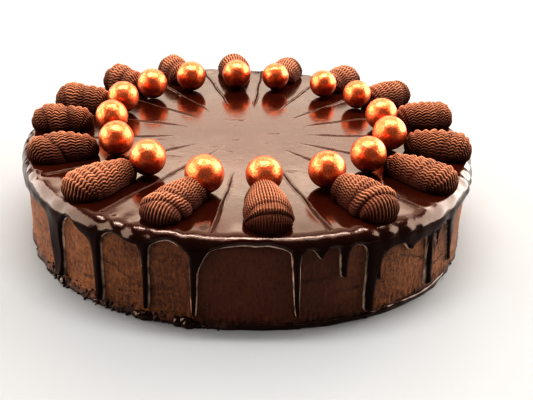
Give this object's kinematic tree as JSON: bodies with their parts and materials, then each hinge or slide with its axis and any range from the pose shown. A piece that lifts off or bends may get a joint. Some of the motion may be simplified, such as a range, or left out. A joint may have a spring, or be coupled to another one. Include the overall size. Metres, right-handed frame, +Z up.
{
  "type": "chocolate drip cake",
  "caption": "Low round chocolate torte under a glossy scored drip glaze, ringed with piped ribbed swirls and copper lustre balls.",
  "frame": {"origin": "middle of the flat underside", "axes": "+Z up; -Y towards the front, where the drips hang longest"},
  "size_m": [0.2432, 0.243, 0.0649],
  "materials": {
    "buttercream": "matte hand-smoothed chocolate buttercream",
    "ganache": "mirror-glossy dark chocolate glaze",
    "piped_cream": "matte ribbed piped ganache",
    "lustre": "copper lustre dust on chocolate"
  },
  "bodies": {
    "root": {"cake_body": "buttercream", "glaze": "ganache", "swirl_01": "piped_cream", "swirl_02": "piped_cream", "swirl_03": "piped_cream", "swirl_04": "piped_cream", "swirl_05": "piped_cream", "swirl_06": "piped_cream", "swirl_07": "piped_cream", "swirl_08": "piped_cream", "swirl_09": "piped_cream", "swirl_10": "piped_cream", "swirl_11": "piped_cream", "swirl_12": "piped_cream", "swirl_13": "piped_cream", "swirl_14": "piped_cream", "swirl_15": "piped_cream", "swirl_16": "piped_cream", "ball_01": "lustre", "ball_02": "lustre", "ball_03": "lustre", "ball_04": "lustre", "ball_05": "lustre", "ball_06": "lustre", "ball_07": "lustre", "ball_08": "lustre", "ball_09": "lustre", "ball_10": "lustre", "ball_11": "lustre", "ball_12": "lustre", "ball_13": "lustre", "ball_14": "lustre", "ball_15": "lustre", "ball_16": "lustre"}
  },
  "joints": []
}
